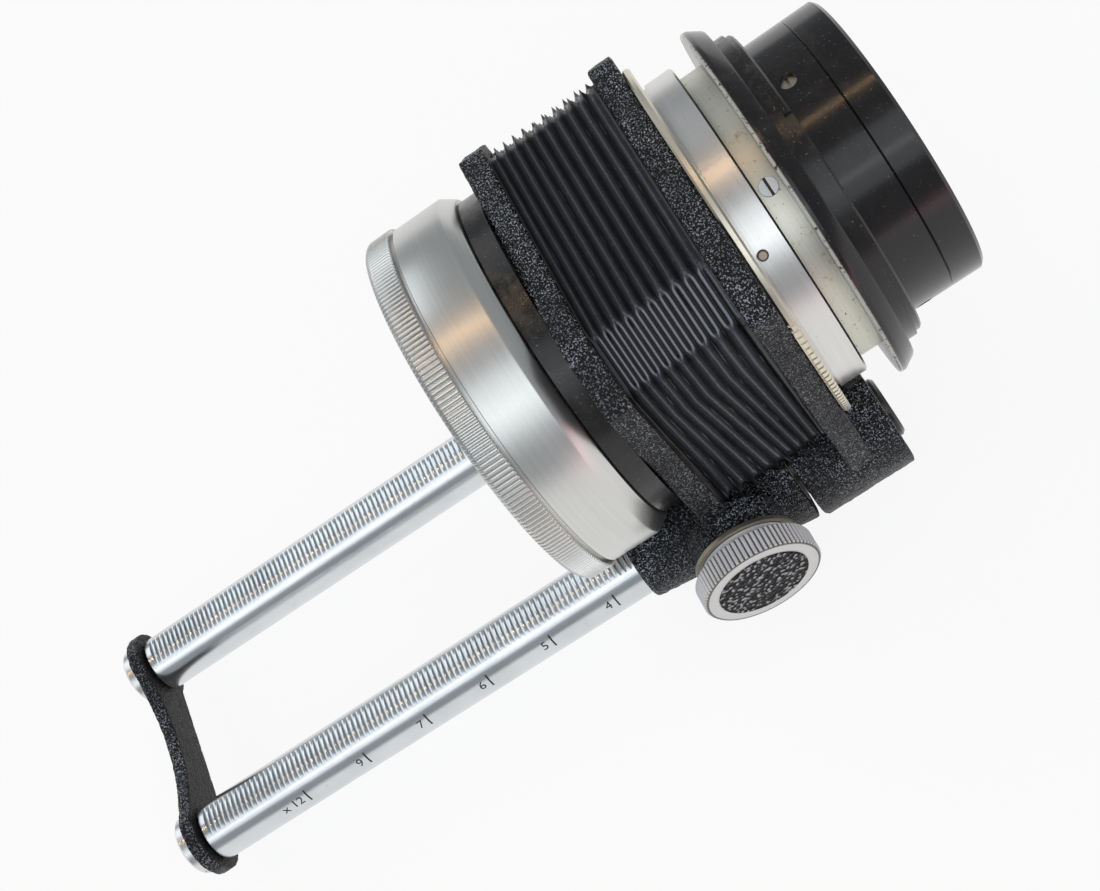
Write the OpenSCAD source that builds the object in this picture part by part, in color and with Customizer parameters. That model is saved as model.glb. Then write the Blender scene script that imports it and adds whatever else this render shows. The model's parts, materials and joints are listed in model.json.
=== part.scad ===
// Macro bellows unit: two toothed rails, a fixed and a sliding standard, a pleated bellows
// between them, a knurled camera ring on one side and a stepped lens barrel on the other.
// +X runs along the rails towards the barrel, +Z is up, and the focusing knob is on the -Y side.
// The origin is the mouth of the tripod socket, in the flat base of the fixed standard.

/* [Rails] */
// Diameter of each guide rail
rail_d = 10; // [9:0.5:11]
// Distance between the axes of the two rails
rail_spacing = 34.5; // [33:0.5:37]
// Length of each rail
rail_len = 130; // [120:1:160]
// Height of the rail axes above the base
rail_height = 12; // [12:0.5:16]
// Chamfer on the ends of the rails
rail_chamfer = 0.5; // [0.2:0.1:1]
// How far the rails stand out past the fixed foot
rail_proud = 1; // [0.6:0.2:3]
// Height of the camera ring's lowest point above the rail axes
ring_lift = 3.75; // [3.5:0.05:6]

/* [Rack and pinion] */
// Module of the rack and the pinions
gear_module = 0.3; // [0.25:0.05:0.35]
// Number of teeth on each pinion
pinion_teeth = 16; // [14:1:18]
// Face width of each pinion
pinion_w = 6; // [4:0.5:7]
// Play between the flanks of rack and pinion
gear_play = 0.08; // [0.06:0.01:0.12]
// Plain length of rail left between the yoke and the first tooth
rack_margin = 0.8; // [0.6:0.2:4]

/* [End yoke] */
// Thickness of the end yoke
yoke_t = 2.5; // [2:0.25:4]
// Wall of the yoke round each rail
yoke_wall = 1.5; // [1:0.25:3]
// Gap left over the yoke for the camera ring to pass
yoke_gap = 1.35; // [0.8:0.05:2]
// Radius of the large slotted screw heads
yoke_screw_head_r = 5.2; // [4:0.2:5.6]
// Thickness of the large slotted screw heads
yoke_screw_head_t = 2; // [1.5:0.25:3]
// Radius of the yoke screws' threads
yoke_screw_r = 2; // [1.5:0.25:2.5]
// Length of the yoke screws' threads in the rails
yoke_screw_len = 8; // [5:1:12]

/* [Standards] */
// Thickness of both standing plates
plate_t = 4; // [3.5:0.25:5]
// How far the plates stand out past the bellows at the sides
plate_margin = 2.2; // [1.8:0.1:3]
// How far the plates stand out past the bellows at the top
plate_top_margin = 1.1; // [0.8:0.1:3]
// Size of the plates' corner chamfers
plate_chamfer = 6.8; // [5:0.2:8]
// Radius of the light path through plates and tubes
light_r = 19.5; // [17:0.25:19.75]
// Length of the fixed foot along the rails
fixed_foot_len = 16; // [14:0.5:22]
// Distance from the fixed plate to the foot's outer end
plate_inset = 5; // [4:0.5:7]
// Radius of the fixed foot round each rail
fixed_boss_r = 8.8; // [8:0.1:8.8]
// Length of the sliding foot along the rails
slide_foot_len = 28; // [26:0.5:34]
// Gap between the two feet when the bellows is closed
end_gap = 0.6; // [0.5:0.1:2]
// Radius of the sliding foot round each rail, camera end
slide_boss_r1 = 6; // [6:0.1:7]
// Radius of the sliding foot round each rail, lens end
slide_boss_r2 = 8.8; // [8:0.1:8.8]
// Half the width of the flat pad under the sliding foot
pad_half = 14; // [12:0.5:18]
// Running clearance of the rails in the sliding foot
rail_fit = 0.05; // [0.03:0.01:0.08]
// Wall of the bronze rail bushes
bush_wall = 0.9; // [0.6:0.1:1.2]
// Length of the bronze rail bushes
bush_len = 7; // [5:0.5:8]

/* [Tripod socket] */
// Radius of the tripod thread's bore
socket_r = 2.55; // [2.5:0.05:4.3]
// Depth of the tripod thread
socket_depth = 7; // [6:0.5:8]
// Radius of the tripod bush
socket_bush_r = 6; // [5.5:0.5:8]
// Height of the tripod bush
socket_bush_h = 9; // [8.5:0.5:11]

/* [Bellows] */
// Distance between the plates with the bellows closed
bellows_space = 17.7; // [16:0.1:24]
// Room between the light path and the bellows' ridges
bellows_room = 4.5; // [4.2:0.1:5]
// Depth of the pleats
pleat_depth = 3; // [2:0.1:3.2]
// Number of pleats
pleat_count = 10; // [8:1:14]
// Size of the bellows' corner facets, over the ridges
bellows_corner = 7.2; // [6.6:0.1:8]
// Thickness of the bellows' skin
bellows_skin = 0.7; // [0.5:0.1:1]
// Thickness of the frames that hold the bellows
frame_t = 1; // [0.8:0.1:1.5]
// How far the frames end inside the bellows' ridges
frame_inset = 1.5; // [1.3:0.1:1.8]

/* [Camera ring] */
// Length of the black mount ring
mount_ring_len = 3.6; // [3:0.1:6]
// Wall of the mount ring's threaded neck
mount_neck_wall = 3.5; // [3:0.1:4]
// Width of the black mount ring outside its neck
mount_ring_w = 3.8; // [3.6:0.1:4.4]
// Length of the mount ring's threaded neck
mount_neck_len = 6; // [4:0.5:7]
// Length of the camera ring
camera_ring_len = 14.5; // [12:0.5:18]
// How far the camera ring's smooth part stands over the mount ring
camera_ring_step = 2.1; // [1.6:0.1:3]
// How far the knurling stands over the smooth part
knurl_step = 0.5; // [0.2:0.1:1]
// Length of the knurled rim
knurl_len = 4.2; // [3:0.1:5]
// Number of ribs round the knurled rim
knurl_count = 126; // [90:2:140]
// Step from the light path to the camera thread's bore
camera_thread_step = 1; // [0.8:0.1:1.6]
// Length of the camera thread
camera_thread_len = 5.5; // [4:0.5:6]

/* [Lens side] */
// Thickness of the adapter's disc
disc_t = 1.2; // [1:0.1:2]
// Width of the adapter's disc outside its tube
disc_w = 3.4; // [3:0.1:3.8]
// Length of the adapter tube in front of its disc
adapter_len = 4.8; // [4:0.1:8]
// Wall of the adapter's neck in the fixed plate
neck_wall = 2.5; // [2:0.1:2.8]
// Step from the neck to the adapter tube
adapter_step = 3.4; // [2.5:0.1:4]
// Length of the spacer tube
spacer_len = 3.4; // [3:0.1:6]
// Wall of the spacer tube
spacer_wall = 3.8; // [3.5:0.1:4.5]
// Length of the lens flange
flange_len = 3; // [2:0.1:5]
// Width of the lens flange outside the spacer tube
flange_w = 5; // [3:0.1:6]
// Length of the slotted collar
collar_len = 2.9; // [2.5:0.1:5]
// Wall of the slotted collar
collar_wall = 3; // [2.5:0.1:4]
// Length of the barrel in front of the collar
barrel_len = 6.5; // [6:0.1:14]
// Wall of the barrel
barrel_wall = 2.5; // [2.3:0.1:3]
// Length of the barrel's end ring
end_ring_len = 5.1; // [4:0.1:10]
// Step from the light path to the end ring's bore
end_bore_step = 0.5; // [0.3:0.05:1]

/* [Focusing knob] */
// Distance of the pinion shaft from the sliding plate's camera side
shaft_inset = 2.54; // [2.3:0.02:2.8]
// Radius of the pinion shaft
shaft_r = 1.6; // [1.3:0.05:1.6]
// How far the shaft boss stands out past the plate
boss_out = 2.8; // [2:0.1:5]
// Radius of the shaft boss beside the knob
boss_r = 7.5; // [6.5:0.1:7.5]
// Radius of the focusing knob
knob_r = 9.47; // [9:0.01:11]
// Width of the knob's knurled rim
knob_rim_w = 3.7; // [3:0.1:6]
// Length of the knob's neck
knob_neck_len = 1.6; // [1:0.1:3]
// Radius of the knob's neck
knob_neck_r = 7.4; // [6:0.1:8]
// Number of ribs round the knob
knob_ribs = 75; // [40:1:80]
// Radius of the knob's leather inlay
inlay_r = 7.15; // [6:0.05:7.5]
// Thickness of the washer behind the knob
washer_t = 0.6; // [0.4:0.1:1]
// Radius of the washer behind the knob
washer_r = 8.2; // [7.6:0.1:9]

/* [Clamping knob] */
// Distance of the clamping screw from the sliding foot's camera end
clamp_inset = 6; // [5.5:0.5:7]
// Radius of the clamping screw's thread
clamp_r = 2; // [1.5:0.25:2.25]
// Radius of the clamping knob
clamp_knob_r = 6; // [5:0.5:7]
// Length of the clamping knob
clamp_knob_len = 5; // [4:0.5:8]

/* [Hidden] */
$fn = 96;

// Gap left between two turned pieces that fit into each other
fit = 0.05;
// Gap left between pieces that pass each other
pass = 0.35;
// Overshoot of a cutter past the face it opens
over = 1;

// Radii of the turned pieces, outwards from the light path
mount_neck_r = light_r + mount_neck_wall;
mount_ring_r = mount_neck_r + mount_ring_w;
camera_ring_r = mount_ring_r + camera_ring_step;
knurl_ring_r = camera_ring_r + knurl_step;
camera_thread_r = light_r + camera_thread_step;
adapter_neck_r = light_r + neck_wall;
adapter_r = adapter_neck_r + adapter_step;
disc_r = adapter_r + disc_w;
spacer_r = light_r + spacer_wall;
flange_r = spacer_r + flange_w;
barrel_r = light_r + barrel_wall;
collar_r = barrel_r + collar_wall;
end_bore_r = light_r + end_bore_step;

// The bellows and the plates round the light path, and the rails under them
bellows_half = light_r + bellows_room;
frame_half = bellows_half - frame_inset;
plate_half = bellows_half + plate_margin;
plate_top = bellows_half + plate_top_margin;
rail_r = rail_d / 2;
rail_y = rail_spacing / 2;
axis_z = rail_height + ring_lift + knurl_ring_r;
boss_reach = plate_half + boss_out;

// Stations along X, from the tripod socket
foot_right = fixed_foot_len / 2;
foot_left = -foot_right;
rail_right = foot_right + rail_proud;
yoke_x = rail_right - rail_len;
fixed_plate_right = foot_right - plate_inset;
fixed_plate_left = fixed_plate_right - plate_t;
slide_plate_right = fixed_plate_left - bellows_space;
slide_plate_left = slide_plate_right - plate_t;
slide_right = foot_left - end_gap;
slide_left = slide_right - slide_foot_len;
mount_ring_left = slide_plate_left - mount_ring_len;
camera_ring_left = mount_ring_left - camera_ring_len;
disc_right = fixed_plate_right + disc_t;
adapter_right = disc_right + adapter_len;
spacer_right = adapter_right + spacer_len;
flange_right = spacer_right + flange_len;
collar_right = flange_right + collar_len;
barrel_right = collar_right + barrel_len;
end_ring_right = barrel_right + end_ring_len;

// Rack and pinion
pinion_r = gear_module * pinion_teeth / 2;
pinion_tip_r = pinion_r + gear_module;
tooth_depth = 2.25 * gear_module;
pinion_root_r = pinion_tip_r - tooth_depth;
rack_pitch = PI * gear_module;
flank_angle = 20;
shaft_x = slide_plate_left + shaft_inset;
shaft_z = rail_height + rail_r - gear_module + pinion_r;

// Heights in the feet, kept under the rings and the bellows
bridge_top = rail_height + 2.5;
housing_top = axis_z - bellows_half - pass;
pocket_gap = 0.3;
pocket_wall = 1.16;
pocket_r = pinion_tip_r + pocket_gap;
housing_right = shaft_x + pocket_r + pocket_wall;
core_wall = 0.7;
core_r = pocket_r + core_wall;
tunnel_r = shaft_r + pocket_gap;
far_reach = plate_half + 1;
// How far the plates reach down between the rails
plate_sink = 2;

// ---------------------------------------------------------------- shapes along an axis

// A flat outline drawn in Y and Z, made t thick from x towards +X
module slab_x(x, t) {
    translate([x, 0, 0]) rotate([90, 0, 90]) linear_extrude(height = t) children();
}

// A turned piece on the optical axis, its profile given as [radius, x] points
module turned(profile) {
    translate([0, 0, axis_z]) rotate([0, 90, 0]) rotate_extrude() polygon(profile);
}

// A round bar along X
module bar_x(x1, x2, y, z, r1, r2) {
    translate([x1, y, z]) rotate([0, 90, 0]) cylinder(h = x2 - x1, r1 = r1, r2 = r2);
}

// A round bar along Y, from y1 up to y2
module bar_y(x, z, y1, y2, r) {
    translate([x, y1, z]) rotate([-90, 0, 0]) cylinder(h = y2 - y1, r = r);
}

// A plain tube's profile with small chamfers on its outer edges
function tube_profile(x1, x2, r_in, r_out, c) = [
    [r_in, x1], [r_out - c, x1], [r_out, x1 + c],
    [r_out, x2 - c], [r_out - c, x2], [r_in, x2]
];

// Outline of a round part with count straight ribs
function ribbed(r, depth, count) = [
    for (i = [0 : 2 * count - 1]) let (a = i * 180 / count, q = i % 2 == 0 ? r : r - depth)
        [q * cos(a), q * sin(a)]
];

// The eight corners of a square with cut corners: a is half its width and cut the corner's size
function octagon(a, cut) = [
    [a, a - cut], [a - cut, a], [cut - a, a], [-a, a - cut],
    [-a, cut - a], [cut - a, -a], [a - cut, -a], [a, cut - a]
];

// A slot across a screw's head, in the head's own frame
module slot(w, r, depth) {
    translate([-w / 2, -r - over, -depth]) cube([w, 2 * (r + over), depth + over]);
}

// ---------------------------------------------------------------- rails and yoke

// The spaces between the rack's teeth, as one comb above the rail
module rack_comb() {
    first = ceil((yoke_x + rack_margin + rack_pitch / 2 - shaft_x) / rack_pitch);
    last = floor((pinion_tip_r + 2 * rack_pitch) / rack_pitch);
    top = rail_height + rail_r + over;
    bottom = rail_height + rail_r - tooth_depth;
    pitch_line = rail_height + rail_r - gear_module;
    half = rack_pitch / 4 + gear_play / 2;
    w_top = half + (top - over - pitch_line) * tan(flank_angle);
    w_bottom = half - (pitch_line - bottom) * tan(flank_angle);
    gaps = [for (k = [first : last]) let (x = shaft_x + k * rack_pitch) each [
        [x - w_top, top - over + 0.02], [x - w_bottom, bottom],
        [x + w_bottom, bottom], [x + w_top, top - over + 0.02]
    ]];
    x1 = shaft_x + first * rack_pitch - w_top;
    x2 = shaft_x + last * rack_pitch + w_top;
    translate([0, rail_r, 0]) rotate([90, 0, 0])
        linear_extrude(height = rail_d) polygon(concat(gaps, [[x2, top], [x1, top]]));
}

module rail(y) {
    color("silver") translate([0, y, 0]) difference() {
        translate([0, 0, rail_height]) rotate([0, 90, 0]) rotate_extrude() polygon([
            [0, yoke_x], [rail_r - rail_chamfer, yoke_x], [rail_r, yoke_x + rail_chamfer],
            [rail_r, rail_right - rail_chamfer], [rail_r - rail_chamfer, rail_right],
            [0, rail_right]
        ]);
        rack_comb();
        bar_x(yoke_x - over, yoke_x + yoke_screw_len + over, 0, rail_height,
              yoke_screw_r + fit, yoke_screw_r + fit);
        translate([0, 0, rail_height - rail_r - over])
            cylinder(h = over + set_screw_bite + fit, r = set_screw_r + fit);
    }
}

module near_rail() rail(-rail_y);
module far_rail() rail(rail_y);

yoke_lobe_r = rail_r + yoke_wall;
yoke_left = yoke_x - yoke_t;

module end_yoke() {
    waist_r = knurl_ring_r + yoke_gap;
    color("dimgray") difference() {
        slab_x(yoke_left, yoke_t) difference() {
            union() {
                for (side = [-1, 1]) translate([side * rail_y, rail_height]) circle(r = yoke_lobe_r);
                translate([-rail_y, rail_height - rail_r]) square([rail_spacing, 2 * rail_r]);
            }
            translate([0, axis_z]) circle(r = waist_r);
        }
        for (side = [-1, 1])
            bar_x(yoke_left - over, yoke_x + over, side * rail_y, rail_height,
                  yoke_screw_r + fit, yoke_screw_r + fit);
    }
}

module yoke_screws() {
    edge = 0.4;
    slot_w = 0.9;
    slot_depth = 1;
    color("gainsboro") for (side = [-1, 1])
        translate([yoke_left, side * rail_y, rail_height]) rotate([0, -90, 0]) difference() {
            rotate_extrude() polygon([
                [0, -yoke_t - yoke_screw_len], [yoke_screw_r, -yoke_t - yoke_screw_len],
                [yoke_screw_r, 0], [yoke_screw_head_r, 0],
                [yoke_screw_head_r, yoke_screw_head_t - edge],
                [yoke_screw_head_r - edge, yoke_screw_head_t], [0, yoke_screw_head_t]
            ]);
            translate([0, 0, yoke_screw_head_t]) slot(slot_w, yoke_screw_head_r, slot_depth);
        }
}

// ---------------------------------------------------------------- fixed standard

set_screw_r = 2;
set_screw_bite = 1;
set_screw_recess = 1;

// Outline of a standing plate, drawn in Y and Z, down to z_low
module plate_outline(z_low) {
    top = axis_z + plate_top;
    shoulder = axis_z + plate_top - plate_chamfer;
    waist = rail_height + rail_r;
    inner = plate_half - plate_chamfer;
    foot = rail_y + rail_r;
    polygon([
        [-foot, z_low], [-plate_half, waist], [-plate_half, shoulder], [-inner, top],
        [inner, top], [plate_half, shoulder], [plate_half, waist], [foot, z_low]
    ]);
}

module fixed_standard() {
    base_inset = 0.75;
    cheek_inset = 0.45;
    cheek_drop = 3;
    base_half = rail_y + rail_r - base_inset;
    cheek_half = rail_y + fixed_boss_r - cheek_inset;
    cheek_z = rail_height - cheek_drop;
    socket_r_out = socket_bush_r + fit;
    color("#2b2b2d") difference() {
        union() {
            slab_x(fixed_plate_left, plate_t) plate_outline(rail_height - plate_sink);
            for (side = [-1, 1])
                bar_x(foot_left, foot_right, side * rail_y, rail_height, fixed_boss_r, fixed_boss_r);
            slab_x(foot_left, fixed_foot_len) polygon([
                [-base_half, 0], [-cheek_half, cheek_z], [-rail_y, bridge_top],
                [rail_y, bridge_top], [cheek_half, cheek_z], [base_half, 0]
            ]);
        }
        for (side = [-1, 1]) {
            bar_x(foot_left - over, foot_right + over, side * rail_y, rail_height,
                  rail_r + fit, rail_r + fit);
            translate([0, side * rail_y, -over]) cylinder(h = rail_height, r = set_screw_r + fit);
        }
        bar_x(fixed_plate_left - over, fixed_plate_right + over, 0, axis_z,
              adapter_neck_r + fit, adapter_neck_r + fit);
        // room for the adapter's disc over the bosses
        bar_x(fixed_plate_right, foot_right + over, 0, axis_z, disc_r + pass, disc_r + pass);
        translate([0, 0, -over]) cylinder(h = socket_bush_h + fit + over, r = socket_r_out);
    }
}

module rail_set_screws() {
    slot_w = 0.7;
    slot_depth = 1.2;
    screw_h = rail_height - rail_r + set_screw_bite - set_screw_recess;
    color("darkgray") for (side = [-1, 1])
        translate([0, side * rail_y, set_screw_recess]) difference() {
            cylinder(h = screw_h, r = set_screw_r);
            mirror([0, 0, 1]) slot(slot_w, set_screw_r, slot_depth);
        }
}

module tripod_bush() {
    color("darkgoldenrod") difference() {
        cylinder(h = socket_bush_h, r = socket_bush_r);
        translate([0, 0, -over]) cylinder(h = socket_depth + over, r = socket_r);
    }
}

// ---------------------------------------------------------------- bellows

// One ring of the bellows: ridge is 1 where the flat sides stand out and 0 where they fold in.
// The corner facets fold the other way, so that neighbouring pleats interlock.
function bellows_ring(x, ridge, inset) =
    let (a = bellows_half - (1 - ridge) * pleat_depth - inset,
         reach = 2 * bellows_half - bellows_corner - ridge * pleat_depth * 0.5
                 - (1 - ridge) * pleat_depth * 0.15 - inset * sqrt(2),
         cut = 2 * a - reach)
    [for (p = octagon(a, cut)) [x, p[0], axis_z + p[1]]];

module bellows() {
    x1 = slide_plate_right + frame_t;
    x2 = fixed_plate_left - frame_t;
    rings = 2 * pleat_count;
    sides = 8;
    step = (x2 - x1) / rings;
    outer = [for (i = [0 : rings]) each bellows_ring(x1 + i * step, i % 2, 0)];
    inner = [for (i = [0 : rings]) each bellows_ring(x1 + i * step, i % 2, bellows_skin)];
    shift = len(outer);
    quads = [for (i = [0 : rings - 1], j = [0 : sides - 1]) let (k = (j + 1) % sides)
        [sides * i + j, sides * i + k, sides * (i + 1) + k, sides * (i + 1) + j]];
    last = sides * rings;
    ends = [for (j = [0 : sides - 1]) let (k = (j + 1) % sides) each [
        [j, shift + j, shift + k, k], [last + k, shift + last + k, shift + last + j, last + j]
    ]];
    faces = concat(
        [for (q = quads) each [[q[0], q[1], q[2]], [q[0], q[2], q[3]]]],
        [for (q = quads) each [
            [shift + q[2], shift + q[1], shift + q[0]], [shift + q[3], shift + q[2], shift + q[0]]]],
        [for (q = ends) each [[q[0], q[1], q[2]], [q[0], q[2], q[3]]]]
    );
    color("#161618") polyhedron(points = concat(outer, inner), faces = faces, convexity = 10);
}

// The metal frame that clamps one end of the bellows to its plate
module bellows_frame(x) {
    corner = 5;
    color("#1d1d1f") difference() {
        slab_x(x, frame_t) translate([0, axis_z]) polygon(octagon(frame_half, corner));
        bar_x(x - over, x + frame_t + over, 0, axis_z, light_r, light_r);
    }
}

module front_bellows_frame() bellows_frame(fixed_plate_left - frame_t);
module rear_bellows_frame() bellows_frame(slide_plate_right);

// ---------------------------------------------------------------- lens side

edge = 0.3;
spigot_len = 3;
spigot_r = (light_r + spacer_r) / 2;
tail_r = spigot_r - 0.3;

module adapter_disc() {
    grip_depth = 0.35;
    grip_arc = 54;
    grip_count = 26;
    color("#d8d6cc") difference() {
        turned(tube_profile(fixed_plate_right, disc_right, adapter_neck_r + fit, disc_r, edge));
        for (side = [-1, 1], k = [0 : grip_count - 1])
            translate([0, 0, axis_z]) rotate([side * (90 + (k / (grip_count - 1) - 0.5) * grip_arc), 0, 0])
                translate([fixed_plate_right - over, -grip_depth / 2, disc_r - grip_depth])
                    cube([disc_t + 2 * over, grip_depth, 1]);
    }
}

module adapter_tube() {
    groove = 0.4;
    color("#c9c9c4") difference() {
        turned([
            [light_r, fixed_plate_left], [adapter_neck_r, fixed_plate_left],
            [adapter_neck_r, disc_right], [adapter_r - groove, disc_right],
            [adapter_r - groove, disc_right + groove], [adapter_r, disc_right + groove],
            [adapter_r, adapter_right - edge], [adapter_r - edge, adapter_right],
            [spigot_r + fit, adapter_right], [spigot_r + fit, adapter_right - spigot_len - fit],
            [light_r, adapter_right - spigot_len - fit]
        ]);
        on_tube(index_x, index_angle, adapter_r) translate([0, 0, -index_sink])
            cylinder(h = index_sink + over, r = index_r + fit);
    }
}

// Places a small piece on a tube of radius r: at x, turned by angle from the top towards -Y,
// with the piece's +Z pointing outwards
module on_tube(x, angle, r) {
    translate([x, 0, axis_z]) rotate([angle, 0, 0]) translate([0, 0, r]) children();
}

index_x = disc_right + 1.1;
index_angle = 44;
index_r = 0.75;
index_sink = 2;

module index_pin() {
    proud = 0.25;
    color("goldenrod") on_tube(index_x, index_angle, adapter_r)
        translate([0, 0, -index_sink]) cylinder(h = index_sink + proud, r = index_r);
}

spacer_screw_x = (adapter_right + spacer_right) / 2;
spacer_screw_angle = 27.6;
spacer_screw_r = 1.3;
spacer_screw_head = 0.9;
spacer_screw_shank = 0.8;
spacer_screw_count = 3;

module spacer_tube() {
    color("#cfc9b4") difference() {
        turned([
            [light_r, adapter_right - spigot_len], [spigot_r, adapter_right - spigot_len],
            [spigot_r, adapter_right], [spacer_r, adapter_right], [spacer_r, spacer_right],
            [tail_r + fit, spacer_right], [tail_r + fit, adapter_right + edge],
            [light_r, adapter_right + edge]
        ]);
        spacer_screw_places() {
            translate([0, 0, -spacer_screw_head - fit]) cylinder(h = over + 1, r = spacer_screw_r + fit);
            translate([0, 0, -spacer_r + light_r - over])
                cylinder(h = spacer_r, r = spacer_screw_shank + fit);
        }
    }
}

module spacer_screw_places() {
    for (i = [0 : spacer_screw_count - 1])
        on_tube(spacer_screw_x, spacer_screw_angle + i * 360 / spacer_screw_count, spacer_r) children();
}

module spacer_screws() {
    reach = spacer_r - tail_r - fit + 0.6;
    slot_w = 0.4;
    proud = 0.1;
    color("gainsboro") spacer_screw_places() difference() {
        union() {
            translate([0, 0, -spacer_screw_head]) cylinder(h = spacer_screw_head + proud, r = spacer_screw_r);
            translate([0, 0, -reach]) cylinder(h = reach, r = spacer_screw_shank);
        }
        translate([0, 0, proud]) slot(slot_w, spacer_screw_r, proud + 0.4);
    }
}

module lens_flange() {
    tail_start = adapter_right + edge + fit;
    color("#1b1b1d") difference() {
        turned([
            [light_r, tail_start], [tail_r, tail_start], [tail_r, spacer_right],
            [flange_r - edge, spacer_right], [flange_r, spacer_right + edge],
            [flange_r, flange_right - edge], [flange_r - edge, flange_right],
            [light_r, flange_right]
        ]);
        spacer_screw_places() translate([0, 0, -spacer_r + light_r - over])
            cylinder(h = spacer_r - light_r + over, r = spacer_screw_shank + fit);
    }
}

collar_notch_angle = 16;
collar_notch_w = 3.4;
collar_notch_len = 1.2;

module slotted_collar() {
    lip = 0.5;
    color("#18181a") difference() {
        turned([
            [barrel_r + fit, flange_right], [collar_r, flange_right],
            [collar_r, collar_right - 1.1], [collar_r - lip, collar_right - 1.1],
            [collar_r - lip, collar_right - edge], [collar_r - lip - edge, collar_right],
            [barrel_r + fit, collar_right]
        ]);
        on_tube(collar_right, collar_notch_angle, collar_r)
            translate([-collar_notch_len, -collar_notch_w / 2, -1.2])
                cube([collar_notch_len + over, collar_notch_w, 1.2 + over]);
    }
}

barrel_screw_x = collar_right + 2;
barrel_screw_angle = -2;
barrel_screw_r = 1.2;
barrel_screw_count = 3;
barrel_screw_sink = 1.6;
barrel_screw_head = 1;

module barrel_screw_places() {
    for (i = [0 : barrel_screw_count - 1])
        on_tube(barrel_screw_x, barrel_screw_angle + i * 360 / barrel_screw_count, barrel_r) children();
}

module lens_barrel() {
    color("#151517") difference() {
        turned(tube_profile(flange_right, barrel_right, light_r, barrel_r, 0.15));
        barrel_screw_places()
            translate([0, 0, -barrel_screw_sink])
                cylinder(h = barrel_screw_sink + over, r = barrel_screw_r + fit);
    }
}

module barrel_screws() {
    slot_w = 0.4;
    color("#3a3a3c") barrel_screw_places() difference() {
        translate([0, 0, -barrel_screw_sink]) cylinder(h = barrel_screw_head, r = barrel_screw_r);
        translate([0, 0, -barrel_screw_sink + barrel_screw_head]) slot(slot_w, barrel_screw_r, 0.4);
    }
}

module barrel_end_ring() {
    rim = 0.5;
    color("#151517") turned([
        [end_bore_r, barrel_right], [barrel_r - 0.15, barrel_right], [barrel_r, barrel_right + 0.15],
        [barrel_r, end_ring_right - rim], [barrel_r - rim, end_ring_right],
        [end_bore_r, end_ring_right]
    ]);
}

// ---------------------------------------------------------------- sliding standard

clamp_x = slide_left + clamp_inset;
clamp_boss_wall = 2.5;
clamp_boss_r = clamp_r + clamp_boss_wall;
clamp_boss_len = 6.25;
clamp_boss_end = rail_y + rail_r + clamp_boss_len;
pad_len = 1.4;
pad_gap = 0.1;

module moving_standard() {
    bore_r = rail_r + rail_fit;
    bush_r = bore_r + bush_wall;
    relief_r = rail_r + pocket_gap;
    seat_len = 8;
    side_wall = 1;
    end_wall = 0.4;
    boss_seat = 1.9;
    bush_boss_wall = 1.6;
    pad_inset = 2;
    neck_y = plate_half - boss_seat;
    pinion_half = pinion_w / 2 + pocket_gap;
    pad_left = slide_left + pad_inset;
    color("#2b2b2d") difference() {
        union() {
            slab_x(slide_plate_left, plate_t) plate_outline(rail_height - plate_sink);
            for (side = [-1, 1])
                bar_x(slide_left, slide_right, side * rail_y, rail_height, slide_boss_r1, slide_boss_r2);
            // bridge between the rails, with its flat pad
            translate([pad_left, -pad_half, 0]) cube([slide_right - pad_left, 2 * pad_half, bridge_top]);
            // housing over the pinion shaft, under the bellows
            translate([slide_plate_left, -rail_y - pinion_half - side_wall, rail_height - plate_sink])
                cube([housing_right - slide_plate_left, rail_spacing + 2 * (pinion_half + side_wall),
                      housing_top - rail_height + plate_sink]);
            for (side = [-1, 1]) mirror([0, side > 0 ? 0 : 1, 0])
                bar_y(shaft_x, shaft_z, rail_y - pinion_half - end_wall, neck_y, core_r);
            bar_y(shaft_x, shaft_z, -boss_reach, -neck_y, boss_r);
            bar_y(shaft_x, shaft_z, neck_y, far_reach, shaft_bush_r + bush_boss_wall);
            bar_y(clamp_x, rail_height, rail_y, clamp_boss_end, clamp_boss_r);
        }
        bar_x(slide_plate_left - over, slide_plate_right + over, 0, axis_z, light_r, light_r);
        for (side = [-1, 1]) {
            bar_x(slide_left - over, slide_right + over, side * rail_y, rail_height, bore_r, bore_r);
            bar_x(slide_left + seat_len, slide_right - bush_len - fit, side * rail_y, rail_height,
                  relief_r, relief_r);
            bar_x(slide_right - bush_len - fit, slide_right + over, side * rail_y, rail_height,
                  bush_r + fit, bush_r + fit);
            bar_y(shaft_x, shaft_z, side * rail_y - pinion_half, side * rail_y + pinion_half, pocket_r);
        }
        bar_y(shaft_x, shaft_z, -boss_reach - over, far_reach + over, tunnel_r);
        bar_y(shaft_x, shaft_z, -boss_reach - over, -boss_reach + shaft_bush_len + fit, shaft_bush_r + fit);
        bar_y(shaft_x, shaft_z, far_reach - shaft_bush_len - fit, far_reach + over, shaft_bush_r + fit);
        bar_y(clamp_x, rail_height, rail_y, clamp_boss_end + over, clamp_r + fit);
        mount_screw_places() translate([0, 0, -over])
            cylinder(h = over + mount_screw_bite + fit, r = mount_screw_r + fit);
    }
}

module rail_bushes() {
    color("peru") for (side = [-1, 1]) difference() {
        bar_x(slide_right - bush_len, slide_right, side * rail_y, rail_height,
              rail_r + rail_fit + bush_wall, rail_r + rail_fit + bush_wall);
        bar_x(slide_right - bush_len - over, slide_right + over, side * rail_y, rail_height,
              rail_r + rail_fit, rail_r + rail_fit);
    }
}

mount_screw_r = 0.8;
mount_screw_head_r = 1.4;
mount_screw_head_h = 1.2;
mount_screw_bite = 2;
mount_screw_circle = (mount_neck_r + mount_ring_r) / 2;
mount_screw_count = 4;

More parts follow.
